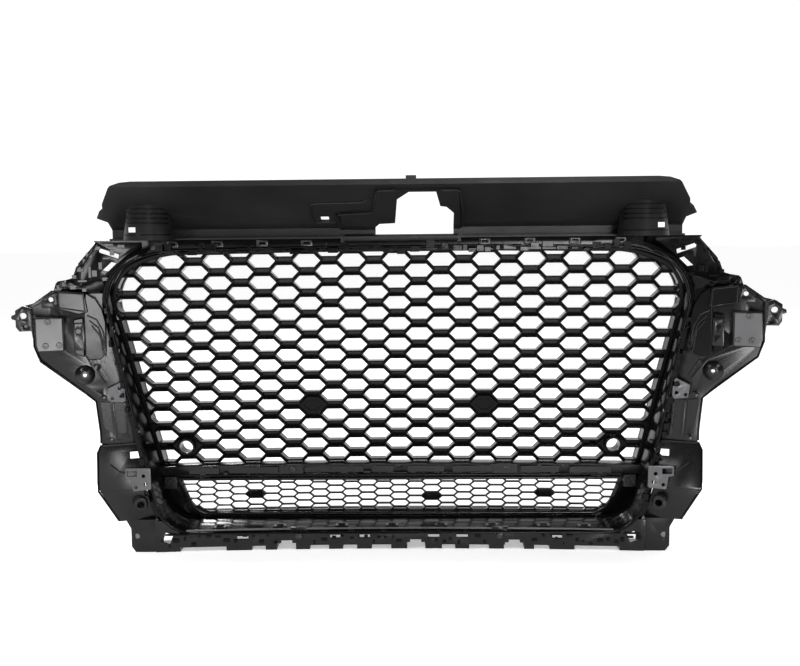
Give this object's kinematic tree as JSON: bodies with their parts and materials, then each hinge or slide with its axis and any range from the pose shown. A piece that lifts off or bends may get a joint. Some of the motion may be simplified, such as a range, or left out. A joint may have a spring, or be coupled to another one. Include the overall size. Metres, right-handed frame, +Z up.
{
  "type": "front grille",
  "caption": "Honeycomb front grille assembly with a carrier frame, lower mesh insert, top cover with latch opening, side arms with brackets and a clip strip.",
  "frame": {"origin": "on the floor plane under the middle of the part", "axes": "+Z up, +Y forward out of the car, +X to the right of someone behind the part"},
  "size_m": [1.0256, 0.2256, 0.517],
  "materials": {
    "gloss_black": "gloss moulded, dyed black",
    "satin_black": "satin moulded, dyed black",
    "matt_black": "fine-grained matt, dyed black",
    "bright_grey": "smooth grey",
    "screw_black": "black zinc"
  },
  "bodies": {
    "root": {"main_mesh": "gloss_black", "carrier_frame": "gloss_black", "crossbar": "satin_black", "lower_mesh": "satin_black", "lower_mesh_frame": "satin_black", "surround_trim": "gloss_black", "clip_strip": "satin_black", "top_cover": "matt_black", "top_clips": "satin_black", "frame_screws": "screw_black", "left_sensor_holder": "gloss_black", "right_sensor_holder": "gloss_black", "left_arm_panel": "satin_black", "right_arm_panel": "satin_black", "left_headlight_bracket": "satin_black", "right_headlight_bracket": "satin_black", "left_strip_plate": "satin_black", "right_strip_plate": "satin_black", "left_arm_plate": "satin_black", "right_arm_plate": "satin_black", "left_duct": "matt_black", "right_duct": "matt_black", "left_end_cup": "satin_black", "right_end_cup": "satin_black", "left_corner_link": "gloss_black", "right_corner_link": "gloss_black", "left_deflector": "matt_black", "right_deflector": "matt_black", "left_tube_boss": "matt_black", "right_tube_boss": "matt_black", "left_foot_bracket": "matt_black", "right_foot_bracket": "matt_black", "left_upper_plate": "bright_grey", "right_upper_plate": "bright_grey", "left_lower_plate": "bright_grey", "right_lower_plate": "bright_grey"}
  },
  "joints": []
}
